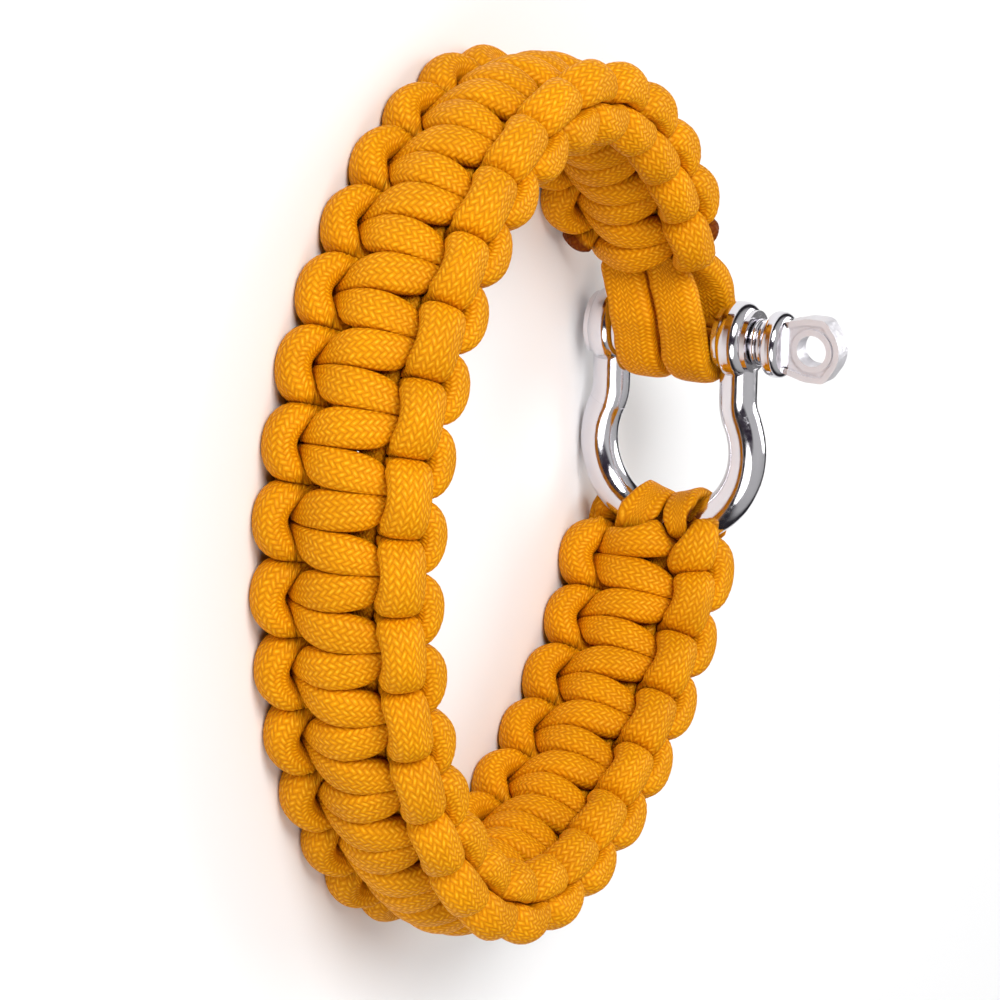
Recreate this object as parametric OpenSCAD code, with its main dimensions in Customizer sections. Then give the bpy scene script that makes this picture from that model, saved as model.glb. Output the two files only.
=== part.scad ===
// Knotted cord bracelet closed by a bow shackle with a screw pin.
// It lies on its side: the wrist goes through along Z, the band's lower edge is at Z = 0,
// and the shackle stands on the +X side with its pin pointing up.

/* [Cord] */
// Diameter of the braided cord
cord_d = 4; // [3.6:0.1:4.4]
// Gap left between two neighbouring stretches of cord
cord_gap = 0.2; // [0.16:0.01:0.28]

/* [Weave] */
// Number of half knots along the band; each is one crossing of both cords
half_knots = 55; // [44:64]
// Length of one full knot along the band
knot_pitch = 7.95; // [7.8:0.05:9]
// From the band's middle line to the centre of the cord in an edge bar
bar_reach = 8.1; // [7.8:0.1:8.8]
// From the band's mid plane to the centre of the cord that crosses a face
face_rise = 2.95; // [2.8:0.05:3.3]
// Distance from the middle line to each of the two core strands
core_offset = 2; // [1.9:0.05:2.2]

/* [Loop] */
// Width of the oval loop as a share of its length
loop_ratio = 0.86; // [0.78:0.01:1]
// From the loop's outermost point on the shackle side down to the bow's middle
bow_place = 6.4; // [0:0.2:12]

/* [Shackle bow] */
// Diameter of the shackle's wire
wire_d = 4.4; // [3.8:0.1:4.8]
// Radius of the bow, to the middle of the wire
bow_r = 9.5; // [9:0.1:11]
// From the pin's axis to the centre of the bow's round part
bow_centre = 13.5; // [11.5:0.1:15]
// Radius of the reverse bend where each leg draws in under its ear
neck_bend_r = 6; // [4:0.5:8]
// Straight stretch between the bow and the reverse bend
neck_straight = 0.6; // [0.3:0.1:1.5]
// Clear width between the two ears
jaw = 12; // [11.4:0.1:13]
// Length of each ear along the pin
ear_l = 4.2; // [3.8:0.1:5]
// Diameter of each ear
ear_d = 8.9; // [8.2:0.1:9.4]
// Diameter of the low shoulder on both sides of an ear
shoulder_d = 7.2; // [6.4:0.1:7.6]
// Height of that low shoulder
shoulder_l = 0.5; // [0.3:0.1:0.8]
// Rounding of the ear's rim
ear_round = 1.3; // [0.6:0.1:1.4]
// Height of the bow above the surface that the bracelet lies on
floor_gap = 0.2; // [0.1:0.1:1]

/* [Screw pin] */
// Diameter of the pin
pin_d = 4; // [3.6:0.1:4.2]
// Length of pin that stands out past the far ear
tip_l = 0.4; // [0.2:0.1:1]
// Diameter over the thread's ridges
thread_d = 5.4; // [5:0.1:5.8]
// Number of thread ridges that show
thread_ridges = 2; // [1:3]
// Distance between two ridges
thread_pitch = 0.8; // [0.7:0.1:1.1]
// Diameter of the collar
collar_d = 7.7; // [7:0.1:8.4]
// Length of the collar
collar_l = 2.3; // [1.9:0.1:3]
// Length of the eye's tab past the collar
tab_l = 6.8; // [6.5:0.1:8]
// Width of the tab where it leaves the collar
tab_root_w = 5.6; // [5:0.1:6.4]
// Width of the tab near its end
tab_end_w = 7.4; // [7:0.1:8]
// Thickness of the tab
tab_t = 2.6; // [2:0.1:3]
// Diameter of the hole in the eye
eye_hole_d = 3.6; // [3:0.1:4]
// From the collar to the centre of the eye's hole
eye_hole_place = 3.4; // [3.2:0.1:4]
// Width of the raised rim round the tab
rim_w = 0.7; // [0.5:0.1:0.9]
// Depth of the field inside the rim
field_depth = 0.3; // [0.2:0.05:0.5]

/* [Fits] */
// Radial clearance of the pin in its ears
pin_clearance = 0.05; // [0.02:0.01:0.1]
// Gap between the cord and the metal that it wraps
wrap_gap = 0.3; // [0.2:0.05:0.4]
// Gap between the thread's first ridge and the ear
seat_gap = 0.1; // [0.05:0.05:0.2]
// From the bow's middle to the start of the weave
bow_lead = 1.2; // [1.2:0.1:4]
// From the end of the weave to the pin's axis
pin_lead = 11.2; // [9:0.2:13]

/* [Hidden] */
cord_r = cord_d / 2;
wire_r = wire_d / 2;
knots = half_knots / 2;
weave_l = knots * knot_pitch;
shackle_l = bow_centre + bow_r;
cord_colour = "orange";
metal_colour = "silver";

// Shares that shape one knot: how far the bars run past the crossings, how straight they are,
// how square the turns at the edges are, how the cord dips between two faces, and how much
// nearer to the mid plane the bars lie than the crossings
bar_lean = 0.256;
bar_run = 0.037;
edge_square = 0.06;
edge_dip = 0.034;
bar_sink = 0.075;
// Share of a knot within which the first turn straightens
lead_fade = 0.08;
// A weaving cord's tube: rings along one knot, rings past each end of the weave, and sides
knot_rings = 14;
end_rings = 1;
cord_sides = 6;
core_sides = 8;
// Samples of a neighbouring cord from ring to ring, how many rings away they still count, and
// how many rings of the same cord are left out
near_samples = 4;
near_rings = knot_rings;
skip_rings = 4;
// Full knots at each end that are worked out one by one; those between repeat one another
end_knots = 2;

// A knotted cord is pressed wide, in its crossings and in its bars. Its section turns round
// the band's flat core, which takes this share of v against w.
band_flatness = 0.25;
crossing_wide = cord_r * 1.25;
bar_wide = cord_r * 1.3;
cord_high = cord_r * 1.1;
// The band's half width and half thickness, over the corners of one knot's rings
one_knot = [for (i = [1:knot_rings], s = ring_spokes(i, 1)) ring_centre(i, 1) + s];
band_half_w = max([for (p = one_knot) abs(p.y)]);
band_half_t = max([for (p = one_knot) abs(p.z)]);
core_wide = cord_r * 0.85;
core_thick = cord_r * 0.68;
leg_wide = cord_r * 0.8;
leg_thick = cord_r * 0.44;
leg_rise = leg_thick + cord_gap / 2;
leg_tuck = knot_pitch * 0.42;
flare_past = leg_tuck * 0.4;
core_settle = knot_pitch;
// A leg starts to spread this far inside the weave, and reaches its wrap's distance within this
// share of the way to the metal
early_rise = 1.4;
spread_share = 0.68;
// The cord flattened round the pin, where two strands fill the jaw, and round the bow
pin_wrap_wide = jaw / 4 - cord_gap;
pin_wrap_thick = cord_r * 0.85;
bow_wrap_wide = cord_r * 1.48;
bow_wrap_thick = cord_r * 0.36;

// The loop: an oval with a slightly fuller side opposite the shackle
loop_egg = 0.017;
loop_square = 0.012;
function oval(a) =
    (1 + loop_egg * cos(3 * a) + loop_square * cos(4 * a)) * [loop_ratio * cos(a), -sin(a)];
unit_steps = [for (i = 0, s = 0; i <= 360; s = s + norm(oval(i + 1) - oval(i)), i = i + 1) [s, i]];
unit_l = unit_steps[360][0];

// The pin and the bow's middle lie on the loop, a shackle's length apart in a straight line
arc_guess = bow_place - shackle_l;
function loop_size(arc) = (weave_l + pin_lead + bow_lead + arc) / unit_l;
function on_loop(s, size) = size * oval(lookup((s / size + unit_l) % unit_l, unit_steps));
first_size = loop_size(shackle_l);
first_chord = norm(on_loop(bow_place, first_size) - on_loop(arc_guess, first_size));
shackle_arc = shackle_l * shackle_l / first_chord;
size = loop_size(shackle_arc);
weave_start = bow_place + bow_lead;
pin_raw = on_loop(bow_place - shackle_arc, size);
bow_raw = on_loop(bow_place, size);
chord = bow_raw - pin_raw;
loop_turn = -90 - atan2(chord.y, chord.x);

// Where a point of the flat band lies on the loop, before the loop is centred: u runs along
// the band, v across it and w out of it
function turned(p) =
    [p.x * cos(loop_turn) - p.y * sin(loop_turn), p.x * sin(loop_turn) + p.y * cos(loop_turn)];
function loop_angle(u) = lookup(((weave_start + u) / size + unit_l) % unit_l, unit_steps);
function loop_point(u, w) =
    let (
        a = loop_angle(u),
        along = oval(a + 0.5) - oval(a - 0.5),
        out = [-along.y, along.x] / norm(along)
    )
    turned(size * oval(a) + w * out);
outline = [for (i = [0:4:180]) loop_point(i / 180 * weave_l, band_half_t)];
pin_turned = turned(pin_raw);
pin_half_w = max(ear_d / 2, pin_d / 2 + wrap_gap + 2 * pin_wrap_thick);
far_x = max([pin_turned.x + pin_half_w, for (p = outline) p.x]);
near_x = min([for (p = outline) p.x]);
far_y = max([for (p = outline) p.y]);
near_y = min([for (p = outline) p.y]);
centre = [(far_x + near_x) / 2, (far_y + near_y) / 2];
pin_axis = pin_turned - centre;
shackle_z = bow_r + wire_r + floor_gap;
function world(p) =
    let (q = loop_point(p.x, p.z) - centre)
    [q.x, q.y, p.y + band_half_w];

// One weaving cord in the flat band; t counts knots. The front cord crosses the outer face
// and turns round on the inner one, and the back cord is the same turned over.
function knot_u(t) =
    t > knots ? weave_l - knot_u(knots - t) :
    knot_pitch * (t + bar_lean * sin(720 * t) + bar_run * sin(1440 * t))
        / (1 + pow(min(t, 0) / lead_fade, 2));
function knot_v(t) =
    bar_reach * (cos(360 * t) + edge_square * cos(1080 * t)) / (1 + edge_square);
function knot_w(t) =
    face_rise * (bar_sink - (1 - bar_sink) * (cos(720 * t) + edge_dip * (1 - cos(1440 * t))));
function cord_point(t, side) = [knot_u(t), side * knot_v(t), side * knot_w(t)];
// Share of the way from 0 to 1, with a soft start and end
function ease(x) = let (c = min(max(x, 0), 1)) c * c * (3 - 2 * c);
// A point of a list of equal rows, at a place between two of its rows
function between(list, x) =
    let (i = min(max(floor(x), 0), len(list) - 2), f = min(max(x - i, 0), 1))
    (1 - f) * list[i] + f * list[i + 1];

// A wrap: distance from the weave to the metal's axis, radius of the cord's middle round it,
// the cord's half width and half thickness there, and how far each strand lies off the middle
pin_wrap = [pin_lead, pin_d / 2 + wrap_gap + pin_wrap_thick, pin_wrap_wide, pin_wrap_thick, jaw / 4];
bow_wrap = [
    bow_lead,
    wire_r + wrap_gap + bow_wrap_thick,
    bow_wrap_wide,
    bow_wrap_thick,
    bow_wrap_wide + cord_gap / 2
];
shackle_shift = shackle_z - band_half_w;

// A core strand's w at a distance past the weave's end, which is negative inside the weave.
// The long strand runs on through the weave, and the short one is cut off there.
function spread(past, wrap) = ease((past + early_rise) / (wrap[0] + early_rise) / spread_share);
// A leg is already nearly as wide as its wrap where it comes out of the weave
function flare(past) = ease(1 + (past - flare_past) / leg_tuck);
function long_w(past, wrap) =
    -leg_rise * ease(1 + min(past, 0) / core_settle) - (wrap[1] - leg_rise) * spread(past, wrap);
function short_w(past, wrap) = leg_rise + (wrap[1] - leg_rise) * spread(past, wrap);
function end_wrap(u) = u < weave_l / 2 ? bow_wrap : pin_wrap;
function past_end(u) = max(-u, u - weave_l);
function core_points(u) =
    let (
        past = past_end(u),
        wrap = end_wrap(u),
        s = spread(past, wrap),
        offset = core_offset + (wrap[4] - core_offset) * flare(past)
    )
    [
        for (side = [-1, 1])
            let (v = side * offset + shackle_shift * s)
            each concat(
                [[u, v, long_w(past, wrap)]],
                past > -leg_tuck ? [[u, v, short_w(past, wrap)]] : []
            )
    ];
function core_near(u) = [for (du = [-3:3]) each core_points(u + du)];

// The bow's wire beside the weave's start, with its radius as a fourth value
bow_tilt = sqrt(6 * (1 - shackle_l / shackle_arc)) * 180 / PI;
bow_near = [
    for (a = [-60:10:60])
        let (back = bow_r * (1 - cos(a)))
        [
            -bow_lead - back * cos(bow_tilt),
            shackle_shift + bow_r * sin(a),
            -back * sin(bow_tilt),
            wire_r
        ]
];

// A weaving cord's centre line runs straight from ring to ring; x counts rings, and two of
// them share the middle of each bar
first_ring = -end_rings;
last_ring = knots * knot_rings + end_rings - 1;
function ring_centre(x, side) = cord_point((x + 0.5) / knot_rings, side);
function line_point(x, side) =
    let (i = floor(x), f = x - i)
    (1 - f) * ring_centre(i, side) + f * ring_centre(i + 1, side);
function near_range(x) = [
    ceil(max(x - near_rings, first_ring) * near_samples)
    : floor(min(x + near_rings, last_ring) * near_samples)
];
function cord_near(x, side) = [
    for (i = near_range(x))
        each concat(
            [line_point(i / near_samples, -side)],
            abs(i / near_samples - x) > skip_rings ? [line_point(i / near_samples, side)] : []
        )
];
// From a ring's centre to its corners; a flat side faces away from the band's core
function ring_spokes(i, side) =
    let (
        p = ring_centre(i, side),
        along = ring_centre(i + 0.5, side) - ring_centre(i - 0.5, side),
        ahead = along / norm(along),
        away = [0, band_flatness * p.y, p.z],
        flat_out = away - (away * ahead) * ahead,
        out = flat_out / norm(flat_out),
        across = cross(ahead, out),
        wide = bar_wide + (crossing_wide - bar_wide) * (1 + side * p.z / face_rise) / 2
    )
    [
        for (k = [0:cord_sides - 1])
            let (a = 360 * (k + 0.5) / cord_sides)
            cord_high * cos(a) * out + wide * sin(a) * across
    ];

// The share of a spoke that stays on its own side of the planes halfway to the neighbours'
// centres, and clear of the wire
function spoke_share(p, spoke, near) =
    let (l = norm(spoke), d = spoke / l)
    min([
        1,
        for (q = near)
            let (away = [q[0], q[1], q[2]] - p, ahead = away * d, far = norm(away))
            if (ahead > 0.05)
                ((len(q) > 3 ? far - q[3] - cord_gap / 2 : far / 2) * far / ahead - cord_gap / 2) / l
    ]);
function least(rows) = [for (k = [0:len(rows[0]) - 1]) min([for (r = rows) r[k]])];
function cord_shares_at(x, side) =
    let (
        i = floor(x),
        p = line_point(x, side),
        spokes = x > i ? (ring_spokes(i, side) + ring_spokes(i + 1, side)) / 2 : ring_spokes(i, side),
        near = concat(cord_near(x, side), core_near(p.x), p.x < knot_pitch ? bow_near : [])
    )
    [for (s = spokes) spoke_share(p, s, near)];
function cord_shares(i, side) =
    least([
        for (dx = [-0.5, 0, 0.5])
            cord_shares_at(min(max(i + dx, first_ring), last_ring), side)
    ]);
function cord_rings(side) =
    let (
        from = end_knots * knot_rings,
        to = last_ring - end_rings + 1 - from,
        repeat = [for (i = [0:knot_rings - 1]) cord_shares(from + i, side)]
    )
    [
        for (i = [first_ring:last_ring])
            let (
                shares = i > from && i < to ? repeat[i % knot_rings] : cord_shares(i, side),
                p = ring_centre(i, side),
                spokes = ring_spokes(i, side)
            )
            [for (k = [0:cord_sides - 1]) world(p + spokes[k] * shares[k])]
    ];

// Stations of a core strand: u, w, half width, half thickness, distance off the middle and
// shift along the shackle. They run from the short leg at the pin, round the pin, along the
// band, round the bow and back into the weave.
wrap_step = 30;
core_steps = 2;
function leg_station(past, end_u, way, w, wrap) =
    let (s = spread(past, wrap))
    [
        end_u + way * past,
        w,
        leg_wide + (wrap[2] - leg_wide) * flare(past),
        leg_thick + (wrap[3] - leg_thick) * s,
        core_offset + (wrap[4] - core_offset) * flare(past),
        shackle_shift * s
    ];
leg_pasts = [-leg_tuck, -leg_tuck / 2, 0];
leg_steps = 3;
function leg_run(wrap) =
    concat(leg_pasts, [for (i = [1:leg_steps - 1]) wrap[0] * i / leg_steps]);
function short_leg(end_u, way, wrap) = [
    for (past = leg_run(wrap)) leg_station(past, end_u, way, short_w(past, wrap), wrap)
];
function long_leg(end_u, way, wrap) = [
    for (past = leg_run(wrap)) leg_station(past, end_u, way, long_w(past, wrap), wrap)
];
function wrap_run(end_u, way, wrap) = [
    for (a = [90:-wrap_step:-90])
        [
            end_u + way * (wrap[0] + wrap[1] * cos(a)),
            wrap[1] * sin(a),
            wrap[2],
            wrap[3],
            wrap[4],
            shackle_shift
        ]
];
function backwards(list) = [for (i = [len(list) - 1:-1:0]) list[i]];
pin_stations = concat(
    short_leg(weave_l, 1, pin_wrap),
    wrap_run(weave_l, 1, pin_wrap),
    backwards(long_leg(weave_l, 1, pin_wrap))
);
core_run = [
    for (i = [(knots - 1) * core_steps:-1:core_steps])
        let (u = i / core_steps * knot_pitch)
        [u, long_w(past_end(u), end_wrap(u)), core_wide, core_thick, core_offset, 0]
];
bow_stations = concat(
    long_leg(0, -1, bow_wrap),
    backwards(wrap_run(0, -1, bow_wrap)),
    backwards(short_leg(0, -1, bow_wrap))
);
stations = concat(pin_stations, core_run, bow_stations);
core_spokes = [
    for (i = [0:len(stations) - 1])
        let (
            s = stations[i],
            before = stations[max(i - 1, 0)],
            after = stations[min(i + 1, len(stations) - 1)],
            along = [after[0] - before[0], 0, after[1] - before[1]],
            out = cross(along / norm(along), [0, 1, 0])
        )
        [
            for (k = [0:core_sides - 1])
                let (a = 360 * k / core_sides)
                [0, s[2] * cos(a), 0] + s[3] * sin(a) * out
        ]
];
function strand_point(s, side) = [s[0], side * s[4] + s[5], s[1]];
function weave_near(u) =
    let (x = u / knot_pitch * knot_rings)
    [for (i = near_range(x), side = [-1, 1]) line_point(i / near_samples, side)];
function core_shares(i, side) =
    let (u = stations[i][0])
    past_end(u) > end_wrap(u)[0] ? [for (k = [1:core_sides]) 1] :
    least([
        for (dx = [-0.5:0.25:0.5])
            let (p = strand_point(between(stations, i + dx), side), near = weave_near(p.x))
            [for (s = between(core_spokes, i + dx)) spoke_share(p, s, near)]
    ]);
// A point beside the bow is carried round with the wire, fully at the wire and not at all at
// the weave
bow_y = pin_axis.y - bow_centre;
function round_bow(p, share) =
    let (far = bow_y - p.y, a = (p.z - shackle_z) / bow_r * 180 / PI)
    [p.x, p.y, p.z] + share * [0, far - far * cos(a), shackle_z + far * sin(a) - p.z];
function core_world(p) = round_bow(world(p), ease(-p.x / bow_lead));
function core_rings(side) =
    let (
        middle = len(pin_stations) + floor(knots),
        repeat = [for (i = [0:core_steps - 1]) core_shares(middle + i, side)]
    )
    [
        for (i = [0:len(stations) - 1])
            let (
                s = stations[i],
                inside = past_end(s[0]) < -end_knots * knot_pitch,
                phase = (i - middle + half_knots * core_steps) % core_steps,
                shares = inside ? repeat[phase] : core_shares(i, side),
                p = strand_point(s, side)
            )
            [for (k = [0:core_sides - 1]) core_world(p + core_spokes[i][k] * shares[k])]
    ];

// A closed tube through rings of equal numbers of points
module tube(rings) {
    sides = len(rings[0]);
    last = len(rings) - 1;
    polyhedron(
        points = [for (r = rings) each r],
        faces = concat(
            [[for (k = [0:sides - 1]) k]],
            [
                for (i = [0:last - 1], k = [0:sides - 1])
                    let (a = i * sides + k, b = i * sides + (k + 1) % sides)
                    each [[a, a + sides, b + sides], [a, b + sides, b]]
            ],
            [[for (k = [sides - 1:-1:0]) last * sides + k]]
        )
    );
}
module front_weave_cord() {
    color(cord_colour) tube(cord_rings(1));
}
module back_weave_cord() {
    color(cord_colour) tube(cord_rings(-1));
}
module core_cord() {
    color(cord_colour)
        for (side = [-1, 1])
            tube(core_rings(side));
}

// The shackle's own frame: the pin's axis is Z and the bow hangs towards -Y
module in_shackle() {
    translate([pin_axis.x, pin_axis.y, shackle_z]) children();
}
module rounded_rect(w, h, r) {
    square([w - 2 * r, h], center = true);
    square([w, h - 2 * r], center = true);
    for (x = [-1, 1], y = [-1, 1])
        translate([x * (w / 2 - r), y * (h / 2 - r)]) circle(r = r, $fn = 48);
}
// A disc with a rounded rim, centred on the pin's axis
module round_disc(d, h, r) {
    rotate_extrude($fn = 64)
        intersection() {
            rounded_rect(d, h, r);
            translate([0, -h / 2]) square([d / 2, h]);
        }
}
ear_place = jaw / 2 + ear_l / 2;
ear_bore_r = pin_d / 2 + pin_clearance;
// The straight laps over both bends and is a trace thicker than they are
neck_lap = 0.2;
neck_swell = 0.02;
bend_sum_r = bow_r + neck_bend_r;
neck_angle = acos((ear_place + neck_bend_r) / norm([bend_sum_r, neck_straight]))
    - atan2(neck_straight, bend_sum_r);
neck_top = bow_centre - bend_sum_r * sin(neck_angle) - neck_straight * cos(neck_angle);
module arc_wire(r, from_angle, sweep) {
    rotate([0, 0, from_angle])
        rotate_extrude(angle = sweep, $fn = 96) translate([r, 0]) circle(r = wire_r, $fn = 48);
}
module ear() {
    round_disc(ear_d, ear_l - 2 * shoulder_l, ear_round);
    cylinder(d = shoulder_d, h = ear_l, center = true, $fn = 64);
}
module shackle_leg() {
    leg_top = (ear_bore_r + ear_d / 2) / 2;
    translate([0, -neck_top, 0])
        rotate([-90, 0, 0]) cylinder(r = wire_r, h = neck_top - leg_top, $fn = 48);
    translate([0, -neck_top, neck_bend_r])
        rotate([0, -90, 0]) {
            arc_wire(neck_bend_r, 180, neck_angle);
            rotate([0, 0, 180 + neck_angle])
                translate([neck_bend_r, -neck_lap, 0])
                rotate([-90, 0, 0])
                cylinder(r = wire_r + neck_swell, h = neck_straight + 2 * neck_lap, $fn = 48);
        }
}
module shackle_bow() {
    color(metal_colour)
        in_shackle()
        difference() {
            union() {
                translate([0, -bow_centre, 0])
                    rotate([0, -90, 0])
                    arc_wire(bow_r, -180 - neck_angle, 180 + 2 * neck_angle);
                for (side = [0, 1])
                    mirror([0, 0, side])
                        translate([0, 0, ear_place]) {
                            ear();
                            shackle_leg();
                        }
            }
            cylinder(r = ear_bore_r, h = 2 * jaw + 4 * ear_l, center = true, $fn = 64);
        }
}

// Heights along the pin, from the shackle's middle
tip_z = -jaw / 2 - ear_l - tip_l;
thread_z = jaw / 2 + ear_l + seat_gap;
ridge_r = thread_pitch / 2 * 0.9;
collar_z = thread_z + thread_ridges * thread_pitch;
tab_z = collar_z + collar_l;
tab_corner_r = 1.2;
module tab_outline(inset) {
    hull() {
        for (y = [-1, 1]) {
            translate([-collar_l / 4, y * (tab_root_w / 2 - tab_corner_r)])
                circle(r = tab_corner_r - inset, $fn = 32);
            translate([tab_l - 2 * tab_corner_r, y * (tab_end_w / 2 - tab_corner_r)])
                circle(r = tab_corner_r - inset, $fn = 32);
        }
        translate([tab_l - tab_end_w / 2, 0]) circle(d = tab_end_w - 2 * inset, $fn = 48);
    }
}
module eye_tab() {
    translate([0, 0, tab_z])
        rotate([0, -90, 0])
        difference() {
            translate([0, 0, -tab_t / 2]) linear_extrude(tab_t) tab_outline(0);
            for (side = [0, 1])
                mirror([0, 0, side])
                    translate([0, 0, tab_t / 2 - field_depth])
                    difference() {
                        linear_extrude(2 * field_depth) tab_outline(rim_w);
                        translate([eye_hole_place, 0, -field_depth])
                            cylinder(r = eye_hole_d / 2 + rim_w, h = 4 * field_depth, $fn = 48);
                    }
            translate([eye_hole_place, 0, 0])
                cylinder(d = eye_hole_d, h = 2 * tab_t, center = true, $fn = 64);
        }
}
module shackle_pin() {
    color(metal_colour)
        in_shackle() {
            translate([0, 0, tip_z]) cylinder(d = pin_d, h = collar_z - tip_z + collar_l / 2, $fn = 64);
            for (i = [0:thread_ridges - 1])
                translate([0, 0, thread_z + (i + 0.5) * thread_pitch])
                    round_disc(thread_d, 2 * ridge_r, ridge_r * 0.8);
            translate([0, 0, collar_z + collar_l / 2]) round_disc(collar_d, collar_l, collar_l * 0.42);
            eye_tab();
        }
}

front_weave_cord();
back_weave_cord();
core_cord();
shackle_bow();
shackle_pin();
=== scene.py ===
# %% [markdown]
# # A knotted cord bracelet with a bow shackle
#
# The bracelet is braided cord, two working cords knotted round two core strands, and a small
# steel shackle that joins the two ends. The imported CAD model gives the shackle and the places.
# This lesson dresses it: the cords get a smooth, squeezed shape and a braided sheath, the steel
# gets a polished surface, and a camera looks from the same side as the photograph.

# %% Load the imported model
import bpy
import numpy as np
from mathutils import Matrix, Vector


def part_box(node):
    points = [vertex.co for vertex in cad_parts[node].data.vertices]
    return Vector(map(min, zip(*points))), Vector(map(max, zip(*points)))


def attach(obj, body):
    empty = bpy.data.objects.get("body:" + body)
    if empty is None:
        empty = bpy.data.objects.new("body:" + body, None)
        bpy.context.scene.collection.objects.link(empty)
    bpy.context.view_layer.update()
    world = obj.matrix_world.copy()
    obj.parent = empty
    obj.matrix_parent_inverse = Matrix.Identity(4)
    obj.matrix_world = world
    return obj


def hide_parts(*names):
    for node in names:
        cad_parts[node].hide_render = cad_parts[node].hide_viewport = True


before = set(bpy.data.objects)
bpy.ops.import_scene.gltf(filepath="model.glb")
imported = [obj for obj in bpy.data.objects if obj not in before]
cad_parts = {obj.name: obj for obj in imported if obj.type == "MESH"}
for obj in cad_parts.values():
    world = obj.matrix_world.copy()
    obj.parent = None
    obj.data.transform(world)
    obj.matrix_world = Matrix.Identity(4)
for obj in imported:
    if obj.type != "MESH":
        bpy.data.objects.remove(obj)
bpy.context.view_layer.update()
MM = 0.001

# %% [markdown]
# ## Sizes
#
# All sizes are in millimetres. A scene script can't read the CAD source, so the values that set
# the cord's path are repeated here as they are there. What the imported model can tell, such as
# the band's width and the pin's place, is read from it.

# %% Sizes of the cord, the knot and the loop
cord_r, knots, knot_pitch = 2.0, 27.5, 7.95
bar_reach, face_rise, core_offset = 8.1, 2.95, 2.0
bar_lean, bar_run, bar_sink, edge_square, edge_dip, lead_fade = 0.256, 0.037, 0.075, 0.06, 0.034, 0.08
loop_ratio, bow_place, shackle_l = 0.86, 6.4, 23.0
bow_lead, pin_lead, bow_r, wire_r, pin_r, wrap_gap = 1.2, 11.2, 9.5, 2.2, 2.0, 0.3
weave_l = knots * knot_pitch
bow_low, bow_high = (np.array(c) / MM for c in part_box("shackle_bow"))
pin_low, pin_high = (np.array(c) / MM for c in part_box("shackle_pin"))
shackle_z = (bow_low[2] + bow_high[2]) / 2
pin_axis = (pin_low[:2] + pin_high[:2]) / 2
band_half_w = (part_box("front_weave_cord")[1].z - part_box("front_weave_cord")[0].z) / 2 / MM
shackle_shift = shackle_z - band_half_w
print(f"band {2 * band_half_w:.2f} mm wide, pin at {pin_axis.round(2)}")
print(f"shackle's middle {shackle_z:.2f} mm up")

# %% [markdown]
# ## The loop
#
# The band is easiest to think of as a flat ribbon: u runs along it, v across it and w out of
# its face. The ribbon is then bent round an oval, which two small waves make a little
# egg-shaped and a little square. Keeping the two steps apart means that the knot only has to be
# understood once, on the flat.

# %% The oval, and the bend from the flat ribbon to the loop
turn_steps = np.arange(0, 361)
loop_egg, loop_square, half_degree = 0.017, 0.012, 0.5

def oval(a):
    a = np.radians(a)
    r = 1 + loop_egg * np.cos(3 * a) + loop_square * np.cos(4 * a)
    return np.stack([r * loop_ratio * np.cos(a), -r * np.sin(a)], -1)

unit_l = np.concatenate([[0], np.cumsum(np.linalg.norm(np.diff(oval(turn_steps), axis=0), axis=1))])

def loop_size(arc):
    return (weave_l + pin_lead + bow_lead + arc) / unit_l[-1]

def on_loop(s, size):
    return size * oval(np.interp((s / size) % unit_l[-1], unit_l, turn_steps))

first = loop_size(shackle_l)
first_chord = np.linalg.norm(on_loop(bow_place, first) - on_loop(bow_place - shackle_l, first))
shackle_arc = shackle_l ** 2 / first_chord
size = loop_size(shackle_arc)
chord = on_loop(bow_place, size) - on_loop(bow_place - shackle_arc, size)
loop_turn = -np.pi / 2 - np.arctan2(chord[1], chord[0])
spin = np.array([[np.cos(loop_turn), -np.sin(loop_turn)], [np.sin(loop_turn), np.cos(loop_turn)]])
centre = spin @ on_loop(bow_place - shackle_arc, size) - pin_axis
weave_start = bow_place + bow_lead

def bend(points):
    """Flat points (u, v, w) carried onto the loop, in millimetres."""
    p = np.asarray(points, float)
    a = np.interp(((weave_start + p[..., 0]) / size) % unit_l[-1], unit_l, turn_steps)
    along = oval(a + half_degree) - oval(a - half_degree)
    out = np.stack([-along[..., 1], along[..., 0]], -1) / np.linalg.norm(along, axis=-1)[..., None]
    xy = (size * oval(a) + p[..., 2:3] * out) @ spin.T - centre
    return np.concatenate([xy, p[..., 1:2] + band_half_w], -1)

print(f"loop {size * unit_l[-1]:.1f} mm round, turned {np.degrees(loop_turn):.2f} degrees")

# %% [markdown]
# ## The knot's path
#
# In this knot each working cord makes a long, flat Omega: it runs along one edge in a bar,
# passes round the edge, crosses the other face and turns into the next bar. A few sines and
# cosines describe that, and the second cord is the first one turned over, half a turn about the
# band's middle line.

# %% The centre lines of the two working cords
def knot_path(t, side):
    t = np.asarray(t, float)
    def run(t):
        wave = t + bar_lean * np.sin(4 * np.pi * t) + bar_run * np.sin(8 * np.pi * t)
        return knot_pitch * wave / (1 + (np.minimum(t, 0) / lead_fade) ** 2)
    u = np.where(t > knots, weave_l - run(knots - t), run(np.minimum(t, knots)))
    v = bar_reach * (np.cos(2 * np.pi * t) + edge_square * np.cos(6 * np.pi * t)) / (1 + edge_square)
    dip = edge_dip * (1 - np.cos(8 * np.pi * t))
    w = face_rise * (bar_sink - (1 - bar_sink) * (np.cos(4 * np.pi * t) + dip))
    return np.stack([u, side * v, side * w], -1)

def ease(x):
    c = np.clip(x, 0, 1)
    return c * c * (3 - 2 * c)

def normed(a):
    return a / np.linalg.norm(a, axis=-1, keepdims=True)

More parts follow.
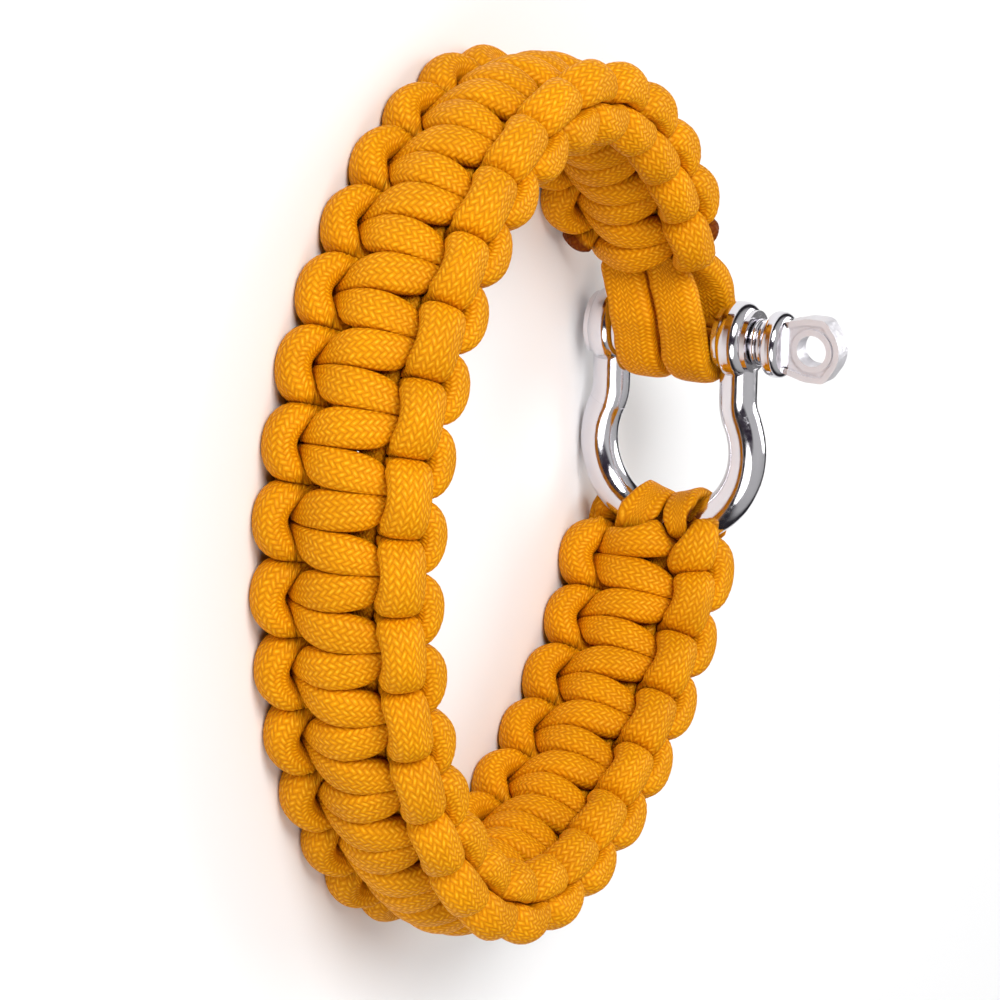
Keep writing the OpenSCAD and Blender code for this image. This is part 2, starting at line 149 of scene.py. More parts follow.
rings_per_knot = 84
lead_in, cut_off = 0.12, -0.03
first_ring = -round(lead_in * rings_per_knot)
last_ring = round((knots + cut_off) * rings_per_knot)
cord_t = np.arange(first_ring, last_ring + 1) / rings_per_knot
line = {side: knot_path(cord_t, side) for side in (1, -1)}
length = np.linalg.norm(np.diff(line[1], axis=0), axis=1).sum()
print(f"each working cord: {len(cord_t)} rings, {length:.0f} mm long")

# %% [markdown]
# ## The core strands
#
# Two strands run inside the knots and make the loops at both ends. Each starts as a short leg
# tucked under the last crossing, goes round the pin, runs along the whole band, goes round the
# bow and ends in another short leg. Each row of its stations holds the place along the band and
# out of it, the half width, the half thickness, the distance off the band's middle line and the
# shift towards the shackle's middle.

# %% A strand's legs, and its turn round the metal
jaw, cord_gap, spread_share = 12, 0.2, 0.68
leg_wide, leg_thick = 1.6, 0.88
leg_rise, leg_tuck = leg_thick + cord_gap / 2, 0.42 * knot_pitch
flare_past, turn_points = 0.4 * leg_tuck, 41
pin_thick, bow_thick = 1.7, 0.72
pin_wrap = dict(lead=pin_lead, r=pin_r + wrap_gap + pin_thick, wide=jaw / 4 - cord_gap,
                thick=pin_thick, off=jaw / 4, early=1.4)
bow_wrap = dict(lead=bow_lead, r=wire_r + wrap_gap + bow_thick, wide=3.05,
                thick=bow_thick, off=3.06, early=0.5)

def leg(past, end_u, way, inner, wrap):
    s = ease((past + wrap["early"]) / (wrap["lead"] + wrap["early"]) / spread_share)
    flare = ease(1 + (past - flare_past) / leg_tuck)
    settle = ease(1 + np.minimum(past, 0) / knot_pitch) if inner else 1
    rise = leg_rise * settle + (wrap["r"] - leg_rise) * s
    return np.stack([
        end_u + way * past, (-rise if inner else rise),
        leg_wide + (wrap["wide"] - leg_wide) * flare, leg_thick + (wrap["thick"] - leg_thick) * s,
        core_offset + (wrap["off"] - core_offset) * flare, shackle_shift * s], -1)

def round_metal(end_u, way, wrap):
    a = np.radians(np.linspace(90, -90, turn_points))[1:-1]
    one = np.ones_like(a)
    return np.stack([
        end_u + way * (wrap["lead"] + wrap["r"] * np.cos(a)), wrap["r"] * np.sin(a),
        one * wrap["wide"], one * wrap["thick"], one * wrap["off"], one * shackle_shift], -1)

print(f"a strand turns round the pin at {pin_wrap['r']:.2f} mm and the bow at {bow_wrap['r']:.2f} mm")

# %% Stations of a core strand, from leg to leg
run_wide, run_thick = 1.65, 1.2
pin_step, run_step, bow_step = 0.4, 0.5, 0.2
pin_past = np.arange(-leg_tuck, pin_lead, pin_step)
run_u = np.arange(weave_l - leg_tuck, leg_tuck, -run_step)
past = np.maximum(-run_u, run_u - weave_l)
run = np.stack([
    run_u, -leg_rise * ease(1 + past / knot_pitch), run_u * 0 + run_wide, run_u * 0 + run_thick,
    run_u * 0 + core_offset, run_u * 0], -1)
bow_past = np.arange(-leg_tuck, bow_lead, bow_step)
stations = np.concatenate([
    leg(pin_past, weave_l, 1, False, pin_wrap), round_metal(weave_l, 1, pin_wrap),
    leg(pin_past, weave_l, 1, True, pin_wrap)[::-1], run, leg(bow_past, 0, -1, True, bow_wrap),
    round_metal(0, -1, bow_wrap)[::-1], leg(bow_past, 0, -1, False, bow_wrap)[::-1]])
print(f"each core strand: {len(stations)} stations")

# %% [markdown]
# ## Squeezing
#
# Cord is soft: where two stretches press on each other, both go flat along the plane halfway
# between them. A soft-body run could press them so, but it is slow, and hard to steer where the
# cords touch at every turn. Here a ring of the tube starts as a free, slightly wide oval, and
# each of its spokes stops near the nearest such plane. A working cord's spokes aim a hair past
# it, so that hardly a slit shows between two stretches. A soft minimum rounds the edge where the
# free skin meets the pressed part, as a real sheath does.

# %% A ring's spokes, shortened by what the cord presses on
spoke_count, grazing, no_plane, least_reach = 28, 0.04, 99.0, 0.05
angles = np.linspace(0, 2 * np.pi, spoke_count, endpoint=False)

def free_radius(high, wide, k=2.4):
    """An oval that is a little square, as a packed cord is; a larger k makes it squarer."""
    up_part = (np.abs(np.cos(angles)) / high[:, None]) ** k
    side_part = (np.abs(np.sin(angles)) / wide[:, None]) ** k
    return (up_part + side_part) ** (-1 / k)

def nearest_plane(p, spokes, near):
    """How far each spoke goes before it meets the plane halfway to a neighbouring point."""
    away = near - p
    ahead = spokes @ away.T
    far2 = (away ** 2).sum(1)
    reach = np.where(ahead > grazing * np.sqrt(far2), far2 / np.maximum(2 * ahead, 1e-6), no_plane)
    return reach.min(1) if len(near) else np.full(len(spokes), no_plane)

def soft_min(parts, hardness=9):
    """The smallest of several reaches, with the corner between two of them rounded."""
    return sum((np.maximum(p, least_reach)) ** -hardness for p in parts) ** (-1 / hardness)

print(f"{spoke_count} spokes to a ring")

# %% [markdown]
# ## Building a tube
#
# A curve with a bevel keeps one shape of section all along and can't be pressed flat in places,
# so the tube is made straight from rings of points.
# In its UV map U is the way along the cord in millimetres, so the braid's stitches are equally
# long on every stretch, and V goes once from 0 to 1 round the cord, so that the braid closes on
# itself. A second value, how hard the skin is pressed, is kept on the points so that the
# material can darken the colour in the creases as painted shade. On the working cords the same
# value also marks the melted ends, whose dark colour is the melted nylon's own.

# %% A closed tube through rings, with its UV map
def make_tube(name, ring_sets, u_sets, pressed_sets):
    verts, faces, uvs, pressed = [], [], [], []
    base = 0
    for rings, along, press in zip(ring_sets, u_sets, pressed_sets):
        n, m = rings.shape[:2]
        verts.append(rings.reshape(-1, 3) * MM)
        pressed.append(press.reshape(-1))
        i, k = np.meshgrid(np.arange(n - 1), np.arange(m), indexing="ij")
        a, b = base + i * m + k, base + i * m + (k + 1) % m
        faces.append(np.stack([a, b, b + m, a + m], -1).reshape(-1, 4))
        v0, v1 = k / m, (k + 1) / m
        u0, u1 = along[i], along[i + 1]
        uvs.append(np.stack([np.stack([u0, v0], -1), np.stack([u0, v1], -1),
                             np.stack([u1, v1], -1), np.stack([u1, v0], -1)], 2).reshape(-1, 2))
        base += n * m
    caps, cap_uv = [], []
    base = 0
    for rings, along in zip(ring_sets, u_sets):
        n, m = rings.shape[:2]
        caps += [[base + k for k in range(m)][::-1], [base + (n - 1) * m + k for k in range(m)]]
        cap_uv += [[along[0], 0.5]] * m + [[along[-1], 0.5]] * m
        base += n * m
    mesh = bpy.data.meshes.new(name)
    mesh.from_pydata(np.concatenate(verts).tolist(), [], np.concatenate(faces).tolist() + caps)
    layer = mesh.uv_layers.new(name="sheath")
    all_uv = np.concatenate(uvs + [np.array(cap_uv, float)])
    layer.data.foreach_set("uv", all_uv.astype(np.float32).ravel())
    # How hard the skin is pressed, which the material turns into painted shade in the creases, and the
    # melted ends.
    value = mesh.attributes.new("pressed", "FLOAT", "POINT")
    value.data.foreach_set("value", np.concatenate(pressed).astype(np.float32))
    mesh.polygons.foreach_set("use_smooth", np.ones(len(mesh.polygons), bool))
    mesh.update()
    thing = bpy.data.objects.new(name, mesh)
    bpy.context.scene.collection.objects.link(thing)
    print(f"{name}: {len(mesh.vertices)} points, {len(mesh.polygons)} faces")
    return thing

def arc_length(points):
    return np.concatenate([[0], np.cumsum(np.linalg.norm(np.diff(points, axis=0), axis=1))])

def round_ends(along, radius=1.2):
    """A share of the radius that rounds both ends of a cut cord."""
    near = np.clip(np.minimum(along, along[-1] - along) / radius, 0, 1)
    return np.sqrt(np.maximum(1 - (1 - near) ** 2, 0.01))

# %% [markdown]
# ## The working cords
#
# The ends beside the pin are cut and melted, so the last two millimetres are dark.
#
# The first knot beside the bow is looser than the rest. Its crossing on the inner face lies
# nearer the bow, and both its crossings stand higher, so that they cover the bases of the
# straps. Its cord is a little thicker.
#
# Hand-tied knots are never quite alike. Each could be shaped on its own, but a slow wave,
# different for each cord, does it for all of them. It moves the knots by about a tenth of a
# millimetre at most and lets the cord swell and thin by up to 4 per cent, so that the eye finds
# no exact repeat.

# %% Core points that the working cords press on
run_only = stations[(stations[:, 0] > -bow_lead) & (stations[:, 0] < weave_l + pin_lead)]
core_all = np.concatenate([
    np.stack([run_only[:, 0], s * run_only[:, 4] + run_only[:, 5], run_only[:, 1]], -1) for s in (1, -1)])
print("core points:", len(core_all))

# %% The first knot, and small differences between the others
def wander(t, seed):
    """A slow, smooth wave of about one unit that repeats only after t has grown by 63."""
    return (np.sin(2.3 * t + seed) + np.sin(5.1 * t + 2.7 * seed) * 0.7
            + np.sin(9.7 * t + 1.3 * seed) * 0.4) / 1.6

along_wave, across_wave, swell_wave = 0.10, 0.08, 0.03
tuck_along, tuck_across, first_height = 0.3, 0.14, 0.2
first_shift = {1: 0.5, -1: -0.7}
pressed_overlap, first_overlap, first_swell = 0.05, 0.1, 0.07
tuck = 1 - ease(cord_t / 0.3)
first_rise = 1 - ease((cord_t - 0.25) / 0.25)
loose = 1 - ease((cord_t - 0.6) / 0.6)
for side in (1, -1):
    line[side][:, 0] += tuck_along * tuck
    line[side][:, 1] *= 1 - tuck_across * tuck
    line[side][:, 2] *= 1 + first_height * first_rise
    line[side][:, 0] += first_shift[side] * first_rise
    fade = ease((cord_t + 0.1) / 1.5) * ease((knots - cord_t + 0.1) / 1.5)
    line[side][:, 0] += along_wave * wander(cord_t, 1.0 + side) * fade
    line[side][:, 1] += across_wave * wander(cord_t, 4.0 + side) * fade
moves = [np.abs(along_wave * wander(cord_t, 1.0 + side)).max() for side in (1, -1)]
print(f"the knots move by up to {max(moves):.2f} mm along the band")

# %% Weave both cords, ring by ring
band_flatness, melt_l = 0.25, 1.9
bar_high, bar_wide, crossing_higher, crossing_wider = 0.93, 1.24, 0.05, 0.04
near_rings, skip_rings, core_within = int(0.95 * rings_per_knot), int(0.27 * rings_per_knot), 4
edge_gap, least_slope, least_edge = 0.02, 0.02, 0.3

def weave_cord(side):
    p = line[side]
    ahead = normed(np.gradient(p, axis=0))
    away = np.stack([p[:, 0] * 0, band_flatness * p[:, 1], p[:, 2]], -1)
    out = normed(away - (away * ahead).sum(1)[:, None] * ahead)
    across = np.cross(ahead, out)
    spokes = out[:, None] * np.cos(angles)[:, None] + across[:, None] * np.sin(angles)[:, None]
    on_face = (1 + side * p[:, 2] / face_rise) / 2
    swell = 1 + swell_wave * wander(cord_t, 7.0 + side) + first_swell * loose
    high, wide = bar_high + crossing_higher * on_face, bar_wide + crossing_wider * on_face
    free = free_radius(high * cord_r * swell, wide * cord_r * swell)
    squeezed, reach = np.empty_like(free), np.empty_like(free)
    for i in range(len(p)):
        lo, hi = max(i - near_rings, 0), i + near_rings
        own = np.concatenate([p[lo:max(i - skip_rings, 0)], p[i + skip_rings:hi]])
        other = line[-side][lo:hi]
        core = core_all[np.abs(core_all[:, 0] - p[i, 0]) < core_within]
        planes = [nearest_plane(p[i], spokes[i], near) for near in (own, other, core)]
        slope = np.maximum(np.sign(p[i, 1]) * spokes[i][:, 1], least_slope)
        to_edge = (band_half_w - edge_gap - np.abs(p[i, 1])) / slope
        overlap = pressed_overlap + first_overlap * loose[i]
        squeezed[i] = soft_min([free[i]] + [q + overlap for q in planes])
        reach[i] = soft_min([squeezed[i], np.maximum(to_edge, least_edge)])
    smooth = (np.roll(reach, 1, 0) + 2 * reach + np.roll(reach, -1, 0)) / 4
    reach[1:-1] = smooth[1:-1]
    along = arc_length(p)
    reach *= round_ends(along)[:, None]
    rings = bend(p[:, None] + spokes * reach[..., None])
    melted = ease(melt_l - (along[-1] - along))[:, None]
    # The last value: how hard the skin is pressed, for painted shade in the creases, or the melted end.
    return rings, along, np.maximum(1 - squeezed / free, melted)

woven = {}
for side, name in ((1, "front_weave_cord"), (-1, "back_weave_cord")):
    rings, along, pressed = weave_cord(side)
    woven[name] = make_tube("sheath_" + name, [rings], [along], [pressed])

# %% [markdown]
# ## The core strands' loops
#
# The strands are made in the same way. Where they go round the bow they also follow its curve,
# so each point there is swung round the bow's centre, fully at the wire and not at all at the
# weave. A strand's tube is 97 per cent as wide as its stations say. Round the bow, where they
# say 3.05 mm, that gives the half width of the solids. Inside the weave, where little of it is
# seen, the strand is thinner than in the solids.

# %% The two core strands
weave_all = np.concatenate([line[1], line[-1]])
drawn_share, strand_square, strand_wave = 0.97, 3.4, 0.3
weave_within, strand_gap = 5, 0.02

def round_bow(points, share):
    mid_y = pin_axis[1] - (shackle_l - bow_r)
    far = mid_y - points[..., 1]
    a = (points[..., 2] - shackle_z) / bow_r
    swing = np.stack([far * 0, far - far * np.cos(a), shackle_z + far * np.sin(a) - points[..., 2]], -1)
    return points + share[..., None] * swing

def core_strand(side):
    s = stations
    p = np.stack([s[:, 0], side * s[:, 4] + s[:, 5], s[:, 1]], -1)
    ahead = np.stack([np.gradient(s[:, 0]), s[:, 0] * 0, np.gradient(s[:, 1])], -1)
    out = np.cross(normed(ahead), [0, 1, 0])
    wide_way = np.array([0.0, 1.0, 0.0])
    spokes = wide_way * np.cos(angles)[:, None] + out[:, None] * np.sin(angles)[:, None]
    swell = 1 + swell_wave * wander(s[:, 0] * strand_wave, 11.0 + side)
    free = free_radius(drawn_share * s[:, 2] * swell, s[:, 3] * swell, strand_square)
    reach = free.copy()
    for i in range(len(p)):
        near = weave_all[np.abs(weave_all[:, 0] - p[i, 0]) < weave_within]
        if len(near):
            reach[i] = soft_min([free[i], nearest_plane(p[i], spokes[i], near) - strand_gap])
    along = arc_length(p)
    flat = p[:, None] + spokes * (reach * round_ends(along)[:, None])[..., None]
    share = ease(-flat[..., 0] / bow_lead)
    # The last value: how hard the strand is pressed, for painted shade in the creases.
    return round_bow(bend(flat), share), along, 1 - reach / free

parts = [core_strand(side) for side in (1, -1)]
strands = make_tube("sheath_core_cord", *[list(x) for x in zip(*parts)])

# %% [markdown]
# ## The braided sheath
#
# The sheath is a tube of fine nylon yarns that spiral both ways. Each passes over two others
# and then under two, which gives short slanted grains in rows, leaning left and right by turns.
# Two sets of slanted stripes in the UV map are the yarns, and the sum of their numbers says
# which set lies on top. The group gives the height of the grains and a mask for their crowns.

# %% Node helpers
def math_node(tree, kind, a, b=None, clamp=False):
    node = tree.nodes.new("ShaderNodeMath")
    node.operation, node.use_clamp = kind, clamp
    for socket, value in zip(node.inputs, (a, b)):
        if value is None:
            continue
        if isinstance(value, (int, float)):
            socket.default_value = value
        else:
            tree.links.new(value, socket)
    return node.outputs[0]

def new_group(name, inputs, outputs):
    tree = bpy.data.node_groups.new(name, "ShaderNodeTree")
    for label, kind, value in inputs:
        socket = tree.interface.new_socket(label, in_out="INPUT", socket_type=kind)
        if value is not None:
            socket.default_value = value
    for label, kind in outputs:
        tree.interface.new_socket(label, in_out="OUTPUT", socket_type=kind)
    return tree, tree.nodes.new("NodeGroupInput"), tree.nodes.new("NodeGroupOutput")

# %% The braid as a shader group
braid, source, result = new_group(
    "braid",
    [("Along", "NodeSocketFloat", 0.0), ("Around", "NodeSocketFloat", 0.0),
     ("Yarns", "NodeSocketFloat", 16.0), ("Stitch", "NodeSocketFloat", 0.8)],
    [("Height", "NodeSocketFloat"), ("Crown", "NodeSocketFloat")])
way = math_node(braid, "DIVIDE", source.outputs["Along"], source.outputs["Stitch"])
round_way = math_node(braid, "MULTIPLY", source.outputs["Around"], source.outputs["Yarns"])
stripe_a = math_node(braid, "ADD", round_way, way)
stripe_b = math_node(braid, "SUBTRACT", round_way, way)
number_a, number_b = (math_node(braid, "FLOOR", stripe) for stripe in (stripe_a, stripe_b))

def hump(x, sharp):
    """0 at both ends of the stretch from 0 to 1, and 1 in its middle."""
    off = math_node(braid, "SUBTRACT", x, 0.5)
    square = math_node(braid, "MULTIPLY", off, off)
    arch = math_node(braid, "SUBTRACT", 1.0, math_node(braid, "MULTIPLY", square, 4.0))
    return math_node(braid, "POWER", math_node(braid, "MAXIMUM", arch, 0.0), sharp)

def grain(stripe, number, other, start):
    """A yarn's float: across the yarn, and along it over two of the others."""
    place = math_node(braid, "FLOORED_MODULO", math_node(braid, "ADD", other, number), 4.0)
    along = math_node(braid, "DIVIDE", math_node(braid, "SUBTRACT", place, start), 2.0)
    return math_node(braid, "MULTIPLY", hump(math_node(braid, "FRACT", stripe), 0.8), hump(along, 0.5))

grain_a = grain(stripe_a, number_a, stripe_b, 0.0)
grain_b = grain(stripe_b, number_b, stripe_a, 2.0)
total = math_node(braid, "FLOORED_MODULO", math_node(braid, "ADD", number_a, number_b), 4.0)
pick = braid.nodes.new("ShaderNodeMix")
braid.links.new(math_node(braid, "LESS_THAN", total, 2.0), pick.inputs["Factor"])
braid.links.new(grain_b, pick.inputs["A"])
braid.links.new(grain_a, pick.inputs["B"])
braid.links.new(pick.outputs["Result"], result.inputs["Height"])
braid.links.new(math_node(braid, "POWER", pick.outputs["Result"], 1.8), result.inputs["Crown"])
print("braid group:", len(braid.nodes), "nodes")

# %% [markdown]
# ## Dyed nylon, with painted glints and shade
#
# The cord is dyed a strong golden orange, which varies a little from stretch to stretch. The
# shader blends four oranges by the braid's crowns and a fine noise: the lighter oranges on the
# crowns are a painted glint, the darker ones between them painted shade. It then darkens them by
# a slow noise and by how hard the skin is pressed, which is painted shade in the creases and, at
# the cut ends, the real dark of the melted nylon. Worked out in the shader, all this stays sharp
# close up, as a painted picture would not.

# %% The cord's material
def ramp(tree, value, stops):
    node = tree.nodes.new("ShaderNodeValToRGB")
    for extra in stops[2:]:
        node.color_ramp.elements.new(extra[0])
    for element, (at, colour) in zip(node.color_ramp.elements, stops):
        element.position = at
        element.color = (*colour, 1) if len(colour) == 3 else colour
    tree.links.new(value, node.inputs["Fac"])
    return node.outputs["Color"]

def mix_colour(tree, kind, factor, a, b):
    node = tree.nodes.new("ShaderNodeMix")
    node.data_type, node.blend_type = "RGBA", kind
    slots = [s for s in node.inputs if s.enabled]
    for socket, value in zip(slots, (factor, a, b)):
        if isinstance(value, (int, float)):
            socket.default_value = value
        elif isinstance(value, tuple):
            socket.default_value = (*value, 1)
        else:
            tree.links.new(value, socket)
    return next(s for s in node.outputs if s.enabled)

def cord_material():
    material = bpy.data.materials.new("braided_nylon")
    material.use_nodes = True
    tree = material.node_tree
    shader = tree.nodes["Principled BSDF"]
    uv = tree.nodes.new("ShaderNodeUVMap")
    uv.uv_map = "sheath"
    split = tree.nodes.new("ShaderNodeSeparateXYZ")
    tree.links.new(uv.outputs["UV"], split.inputs[0])
    weave = tree.nodes.new("ShaderNodeGroup")
    weave.node_tree = braid
    weave.inputs["Yarns"].default_value = 22.0
    weave.inputs["Stitch"].default_value = 0.58
    tree.links.new(split.outputs["X"], weave.inputs["Along"])
    tree.links.new(split.outputs["Y"], weave.inputs["Around"])
    place = tree.nodes.new("ShaderNodeTexCoord").outputs["Object"]
    slow = tree.nodes.new("ShaderNodeTexNoise")
    slow.inputs["Scale"].default_value = 160
    slow.inputs["Detail"].default_value = 2
    tree.links.new(place, slow.inputs["Vector"])
    fine = tree.nodes.new("ShaderNodeTexNoise")
    fine.inputs["Scale"].default_value = 2600
    tree.links.new(place, fine.inputs["Vector"])
    uneven = math_node(tree, "MULTIPLY_ADD", fine.outputs["Fac"], 0.8)
    uneven.node.inputs[2].default_value = -0.4
    crown = math_node(tree, "ADD", weave.outputs["Crown"], uneven, clamp=True)
    # The lighter oranges, on the braid's crowns, are a painted glint, and the darker ones, in the
    # grooves, painted shade.
    dye_with_glint_and_shade = ramp(tree, crown, [
        (0.0, (0.64, 0.215, 0.0)), (0.3, (0.73, 0.27, 0.0)),
        (0.75, (0.79, 0.315, 0.0)), (1.0, (0.92, 0.46, 0.015))])
    cloud = ramp(tree, slow.outputs["Fac"], [(0.3, (0.86, 0.84, 0.8)), (0.7, (1.0, 1.0, 1.0))])
    dye_with_glint_and_shade = mix_colour(tree, "MULTIPLY", 1.0, dye_with_glint_and_shade, cloud)
    # Painted shade: the colour goes deep brown where the skin is pressed into a crease. The same ramp
    # darkens the melted ends, which really are dark.
    press = tree.nodes.new("ShaderNodeAttribute")
    press.attribute_name = "pressed"
    crease_shade_and_melt = ramp(tree, press.outputs["Fac"], [(0.06, (1.0, 1.0, 1.0)), (0.38, (0.24, 0.13, 0.06))])
    tree.links.new(mix_colour(tree, "MULTIPLY", 1.0, dye_with_glint_and_shade, crease_shade_and_melt), shader.inputs["Base Color"])
    rough = math_node(tree, "MULTIPLY_ADD", weave.outputs["Crown"], -0.16)
    rough.node.inputs[2].default_value = 0.62
    tree.links.new(rough, shader.inputs["Roughness"])
    bump = tree.nodes.new("ShaderNodeBump")
    bump.inputs["Strength"].default_value = 0.42
    bump.inputs["Distance"].default_value = 0.00022
    fuzz = math_node(tree, "MULTIPLY", fine.outputs["Fac"], 0.25)
    tree.links.new(math_node(tree, "ADD", weave.outputs["Height"], fuzz), bump.inputs["Height"])
    tree.links.new(bump.outputs["Normal"], shader.inputs["Normal"])
    shader.inputs["Specular IOR Level"].default_value = 0.08
    return material

nylon = cord_material()
for piece in (*woven.values(), strands):
    piece.data.materials.append(nylon)
    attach(piece, "bracelet")
for name, piece in (*woven.items(), ("core_cord", strands)):
    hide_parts(name)
    print(f"{piece.name} stands for {name}")

# %% [markdown]
# ## Polished steel
#
# The shackle is cast and then polished: the metal is bright, with soft waves left by the
# casting and a fine grain. The tab of the pin's eye is left duller, and its sunk field is as
# cast, so it is grainier. The eye could be a piece with its own material, but it is one solid
# with the pin. So two masks find it, as shares of the pin's own box: how far a point lies from
# the tab's middle plane, and how high up the pin it is.

# %% The steel's materials
field_half, tab_from, rim_wide = 0.148, 0.8, 0.04
tab_dull, tab_pale, cast_grain = 0.3, 0.6, 5.0

def steel_material(name, tone, rough_low, rough_high, grain, grain_scale, eye=False):
    material = bpy.data.materials.new(name)
    material.use_nodes = True
    tree = material.node_tree
    shader = tree.nodes["Principled BSDF"]
    place = tree.nodes.new("ShaderNodeTexCoord").outputs["Object"]
    wave = tree.nodes.new("ShaderNodeTexNoise")
    wave.inputs["Scale"].default_value = 220
    wave.inputs["Detail"].default_value = 3
    tree.links.new(place, wave.inputs["Vector"])
    pits = tree.nodes.new("ShaderNodeTexNoise")
    pits.inputs["Scale"].default_value = grain_scale
    pits.inputs["Detail"].default_value = 4
    tree.links.new(place, pits.inputs["Vector"])
    rough = tree.nodes.new("ShaderNodeMapRange")
    rough.inputs["From Min"].default_value, rough.inputs["From Max"].default_value = 0.35, 0.65
    rough.inputs["To Min"].default_value, rough.inputs["To Max"].default_value = rough_low, rough_high
    tree.links.new(pits.outputs["Fac"], rough.inputs["Value"])
    shine = rough.outputs["Result"]
    colour = ramp(tree, wave.outputs["Fac"], [(0.3, tuple(0.93 * c for c in tone)), (0.7, tone)])
    pitted = math_node(tree, "MULTIPLY", pits.outputs["Fac"], grain)
    height = math_node(tree, "ADD", wave.outputs["Fac"], pitted)
    if eye:
        spot = tree.nodes.new("ShaderNodeSeparateXYZ")
        tree.links.new(tree.nodes.new("ShaderNodeTexCoord").outputs["Generated"], spot.inputs[0])
        off = math_node(tree, "ABSOLUTE", math_node(tree, "SUBTRACT", spot.outputs["X"], 0.5))
        above = math_node(tree, "GREATER_THAN", spot.outputs["Z"], tab_from)
        cast, tab = (math_node(tree, "MULTIPLY", math_node(tree, "LESS_THAN", off, half), above)
                     for half in (field_half, field_half + rim_wide))
        shine = math_node(tree, "ADD", shine, math_node(tree, "MULTIPLY", tab, tab_dull))
        metal = math_node(tree, "SUBTRACT", 1.0, math_node(tree, "MULTIPLY", tab, tab_pale))
        tree.links.new(metal, shader.inputs["Metallic"])
        grains = math_node(tree, "MULTIPLY", pits.outputs["Fac"], cast)
        height = math_node(tree, "ADD", height, math_node(tree, "MULTIPLY", grains, cast_grain))
    tree.links.new(shine, shader.inputs["Roughness"])
    tree.links.new(colour, shader.inputs["Base Color"])
    bump = tree.nodes.new("ShaderNodeBump")
    bump.inputs["Strength"].default_value = 0.35
    bump.inputs["Distance"].default_value = 0.00008
    tree.links.new(height, bump.inputs["Height"])
    tree.links.new(bump.outputs["Normal"], shader.inputs["Normal"])
    if not eye:
        shader.inputs["Metallic"].default_value = 1.0
    return material

polish = dict(tone=(0.74, 0.725, 0.76), rough_low=0.08, rough_high=0.17, grain=0.2, grain_scale=1400)
finishes = {
    "shackle_bow": steel_material("polished_steel", **polish),
    "shackle_pin": steel_material("polished_steel_with_cast_eye", **polish, eye=True),
}
for name, finish in finishes.items():
    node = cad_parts[name]
    node.data.materials.clear()
    node.data.materials.append(finish)
    print(f"{name}: {finish.name}")

# %% [markdown]
# ## Camera
#
# The photograph was taken from the side opposite the shackle, from above the band's edge, and
# is turned so that the band stands upright in the picture. The camera's directions, distance,
# focal length and shift came from matching places on the band and the shackle with the
# photograph, so they are written down as they are.

# %% The camera
focal_px, distance, picture_px = 5019.6, 551.0, 1000
shift_px = (-12.07, -5.33)
right = np.array([0.4511, 0.0807, 0.8888])
up = np.array([0.0836, 0.9877, -0.1321])
back = np.cross(right, up)

def to_world(direction):
    return np.array([*(spin @ direction[:2]), direction[2]])

look = bpy.data.objects.new("camera", bpy.data.cameras.new("camera"))
bpy.context.scene.collection.objects.link(look)
bpy.context.scene.camera = look
place = to_world(back * distance) - np.array([*centre, -band_half_w])
axes = np.stack([to_world(right), to_world(up), to_world(back)], 1)
look.matrix_world = Matrix([[*axes[r], place[r] * MM] for r in range(3)] + [[0, 0, 0, 1]])
look.data.lens = focal_px * look.data.sensor_width / picture_px
look.data.shift_x, look.data.shift_y = (shift / picture_px for shift in shift_px)
look.data.clip_start, look.data.clip_end = 0.01, 20
print("camera at", (place * MM).round(3), "lens", round(look.data.lens, 1))

# %% [markdown]
# ## Floor and light
#
# A plain pale floor and large soft lights keep the cord's colours true. Steel shows only what
# stands round it, so a dim band low in the surroundings, and a dim patch where a camera would
# stand, give it the dark streaks that tell the eye it is metal. Sizes and places are in metres
# here, and the lights' powers in watts.

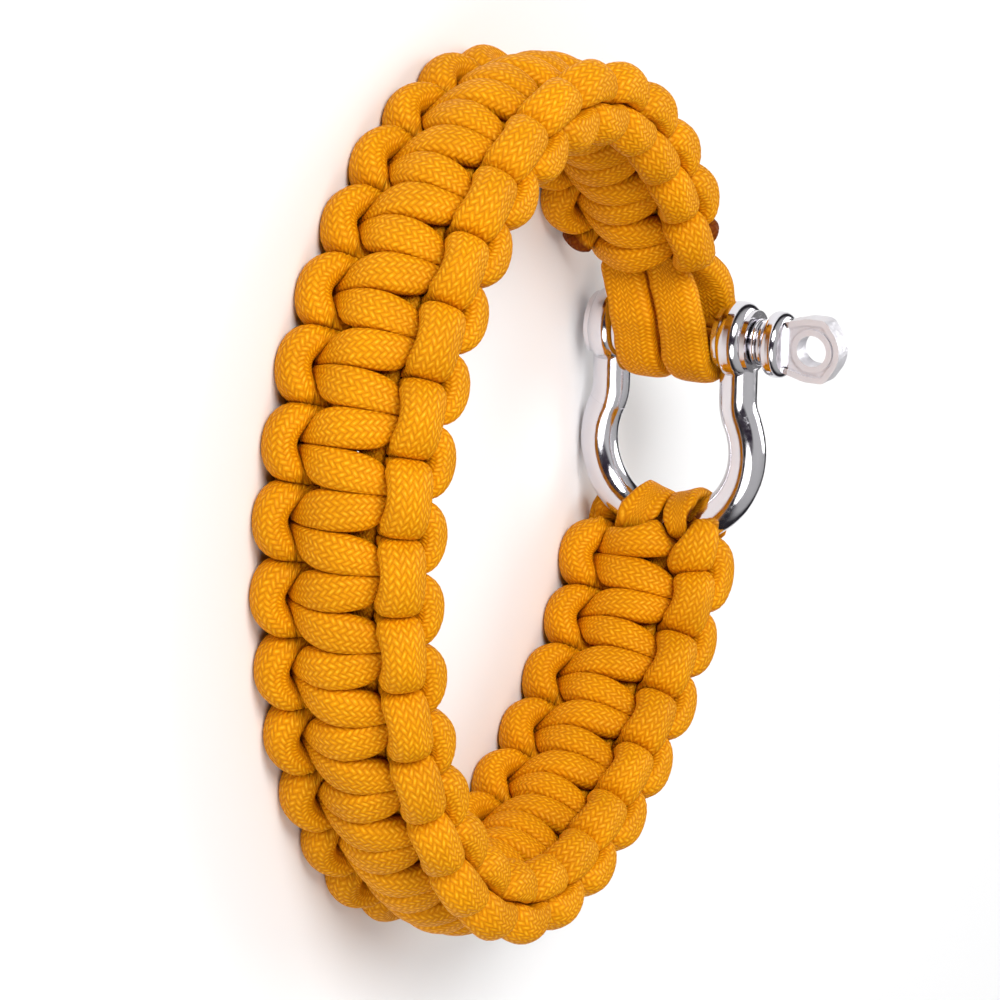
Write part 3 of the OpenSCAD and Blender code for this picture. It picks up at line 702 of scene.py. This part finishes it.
# %% The floor
floor_mesh = bpy.data.meshes.new("floor")
floor_half = 4
corners = [(x * floor_half, y * floor_half, 0) for x, y in ((-1, -1), (1, -1), (1, 1), (-1, 1))]
floor_mesh.from_pydata(corners, [], [(0, 1, 2, 3)])
floor = bpy.data.objects.new("floor", floor_mesh)
bpy.context.scene.collection.objects.link(floor)
paper = bpy.data.materials.new("pale_floor")
paper.use_nodes = True
paper.node_tree.nodes["Principled BSDF"].inputs["Base Color"].default_value = (0.9, 0.9, 0.9, 1)
paper.node_tree.nodes["Principled BSDF"].inputs["Roughness"].default_value = 0.9
floor_mesh.materials.append(paper)
print(f"the floor is {2 * floor_half} m wide")

# %% The lights
aside = [0.3, 1, 0.1]

def soft_light(name, place, aim, width, power):
    lamp = bpy.data.lights.new(name, "AREA")
    lamp.shape, lamp.size, lamp.energy = "DISK", width, power
    thing = bpy.data.objects.new(name, lamp)
    bpy.context.scene.collection.objects.link(thing)
    z = normed(np.array(place, float) - np.array(aim, float))
    x = normed(np.cross(aside, z))
    y = np.cross(z, x)
    thing.matrix_world = Matrix([[x[r], y[r], z[r], place[r]] for r in range(3)] + [[0, 0, 0, 1]])
    print(f"{name} light: {power} W, {width} m wide")

middle = (0, 0, 0.01)
soft_light("key", (-0.45, 0.5, 0.6), middle, 0.5, 7)
soft_light("fill", (-0.7, -0.4, 0.5), middle, 0.7, 3)
soft_light("rim", (0.6, 0.1, 0.5), middle, 0.5, 2)

# %% The surroundings
world = bpy.data.worlds.new("studio")
bpy.context.scene.world = world
world.use_nodes = True
sky = world.node_tree
direction = sky.nodes.new("ShaderNodeTexCoord").outputs["Generated"]
height = sky.nodes.new("ShaderNodeSeparateXYZ")
sky.links.new(direction, height.inputs[0])
shades = ramp(sky, height.outputs["Z"], [
    (0.0, (0.25, 0.25, 0.26)), (0.1, (0.03, 0.028, 0.035)), (0.32, (0.05, 0.045, 0.055)),
    (0.5, (0.75, 0.75, 0.75)), (1.0, (1.0, 1.0, 1.0))])
facing = sky.nodes.new("ShaderNodeVectorMath")
facing.operation = "DOT_PRODUCT"
sky.links.new(direction, facing.inputs[0])
facing.inputs[1].default_value = tuple(to_world(normed(back + 0.25 * right)))
stand = ramp(sky, facing.outputs["Value"], [(0.86, (0.0, 0.0, 0.0)), (0.93, (1.0, 1.0, 1.0))])
around = mix_colour(sky, "MIX", stand, shades, (0.045, 0.03, 0.055))
sky.links.new(around, sky.nodes["Background"].inputs["Color"])
sky.nodes["Background"].inputs["Strength"].default_value = 0.6
bpy.context.scene.view_settings.view_transform = "Standard"
print("surroundings:", len(sky.nodes), "nodes")
